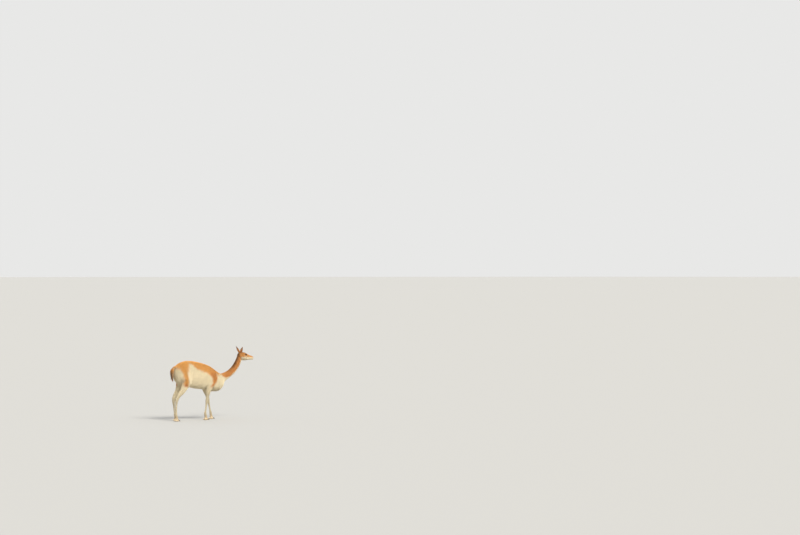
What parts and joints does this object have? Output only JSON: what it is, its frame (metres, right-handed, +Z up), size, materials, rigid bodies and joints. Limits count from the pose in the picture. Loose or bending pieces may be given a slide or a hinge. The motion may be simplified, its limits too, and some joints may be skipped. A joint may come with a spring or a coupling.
{
  "type": "vicuna, still life-size museum model",
  "caption": "Life-size still model of an adult vicuna walking, neck stretched forward and up, fawn above and cream below, with a short bushy tail.",
  "frame": {"origin": "on the floor under the middle of the animal's bounding box", "axes": "+X the way the body heads, +Y its left side, +Z up"},
  "size_m": [1.4794, 0.3054, 1.0885],
  "materials": {
    "fawn_coat": "short dense fleece, fawn to cinnamon",
    "pale_coat": "short close hair, cream",
    "eye": "wet gloss",
    "horn": "smooth dark horn"
  },
  "bodies": {
    "root": {"head": "fawn_coat", "neck_upper": "fawn_coat", "neck_lower": "fawn_coat", "torso": "fawn_coat", "tail": "fawn_coat", "ear_right": "fawn_coat", "ear_left": "fawn_coat", "eye_right": "eye", "eye_left": "eye", "thigh_right": "pale_coat", "shank_right": "pale_coat", "hind_cannon_right": "pale_coat", "hind_foot_right": "pale_coat", "forearm_right": "pale_coat", "fore_cannon_right": "pale_coat", "fore_foot_right": "pale_coat", "nail_hind_right_outer": "horn", "nail_hind_right_inner": "horn", "nail_fore_right_outer": "horn", "nail_fore_right_inner": "horn", "thigh_left": "pale_coat", "shank_left": "pale_coat", "hind_cannon_left": "pale_coat", "hind_foot_left": "pale_coat", "forearm_left": "pale_coat", "fore_cannon_left": "pale_coat", "fore_foot_left": "pale_coat", "nail_hind_left_outer": "horn", "nail_hind_left_inner": "horn", "nail_fore_left_outer": "horn", "nail_fore_left_inner": "horn"}
  },
  "joints": []
}
